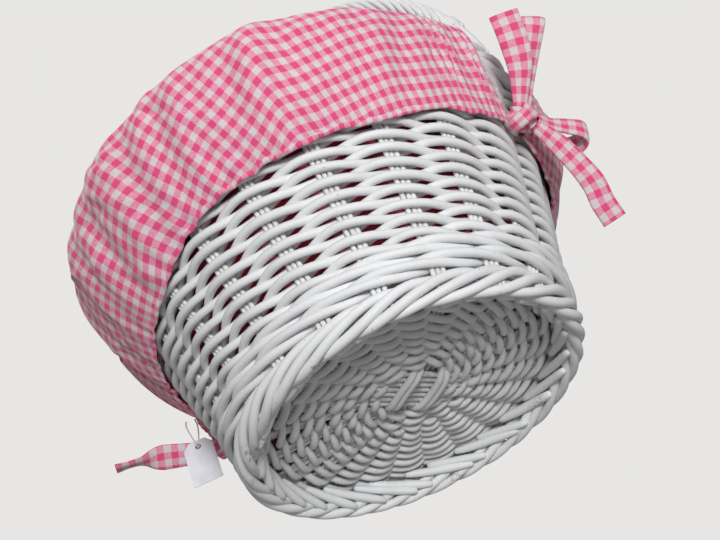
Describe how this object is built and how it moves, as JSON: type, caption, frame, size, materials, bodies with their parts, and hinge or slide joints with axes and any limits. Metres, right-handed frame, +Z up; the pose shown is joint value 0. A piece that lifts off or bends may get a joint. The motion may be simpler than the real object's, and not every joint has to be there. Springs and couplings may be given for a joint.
{
  "type": "wicker picnic basket",
  "caption": "Round white willow picnic basket with a fixed hoop handle, a foot border, and a checked cloth liner whose skirt folds over the rim and ties at the handle roots.",
  "frame": {"origin": "centre of the foot, on the surface that the basket stands on", "axes": "+Z up through the open top; the hoop handle stands in the XZ plane, with the tied bow at +X and the price tag at -X; -Y is the front half of the skirt"},
  "size_m": [0.4183, 0.3614, 0.376],
  "materials": {
    "willow": "white paint, satin, worn on the foot border",
    "gingham": "woven pink and white check cotton, matt",
    "tag_paper": "smooth white card, blank",
    "thread": "thin white cotton thread"
  },
  "bodies": {
    "basket": {"base_sticks": "willow", "base_weaving": "willow", "slath_binding_back": "willow", "slath_binding_front": "willow", "foot_border": "willow", "foot_waling": "willow", "side_weaving_1": "willow", "side_weaving_2": "willow", "side_weaving_3": "willow", "side_weaving_4": "willow", "side_weaving_5": "willow", "rim_waling": "willow", "rim_border": "willow", "stakes_01": "willow", "stakes_02": "willow", "stakes_03": "willow", "stakes_04": "willow", "stakes_05": "willow", "stakes_06": "willow", "stakes_07": "willow", "stakes_08": "willow", "stakes_09": "willow", "stakes_10": "willow", "stakes_11": "willow", "stakes_12": "willow", "stakes_13": "willow", "stakes_14": "willow", "stakes_15": "willow", "stakes_16": "willow", "stakes_17": "willow", "stakes_18": "willow", "stakes_19": "willow", "stakes_20": "willow", "handle_core": "willow", "handle_lapping": "willow", "handle_band_left": "willow", "handle_band_right": "willow", "handle_root_rods_left": "willow", "handle_root_rods_right": "willow", "liner_floor": "gingham", "liner_side": "gingham", "skirt_front": "gingham", "skirt_back": "gingham", "bow_knot_right": "gingham", "bow_tail_up_right": "gingham", "bow_tail_down_right": "gingham", "bow_loop_up_right": "gingham", "bow_loop_side_right": "gingham", "tie_knot_left": "gingham", "tie_front_left": "gingham", "tie_back_left": "gingham", "tie_tail_front_left": "gingham", "tie_tail_back_left": "gingham"},
    "price_tag": {"tag_card": "tag_paper", "tag_thread": "thread"}
  },
  "joints": [
    {"name": "tag_swing", "type": "hinge", "parent": "basket", "child": "price_tag", "pos_m": [-0.161, -0.0185, 0.112], "axis": [1, 0, 0], "range_deg": [-70, 5]}
  ]
}
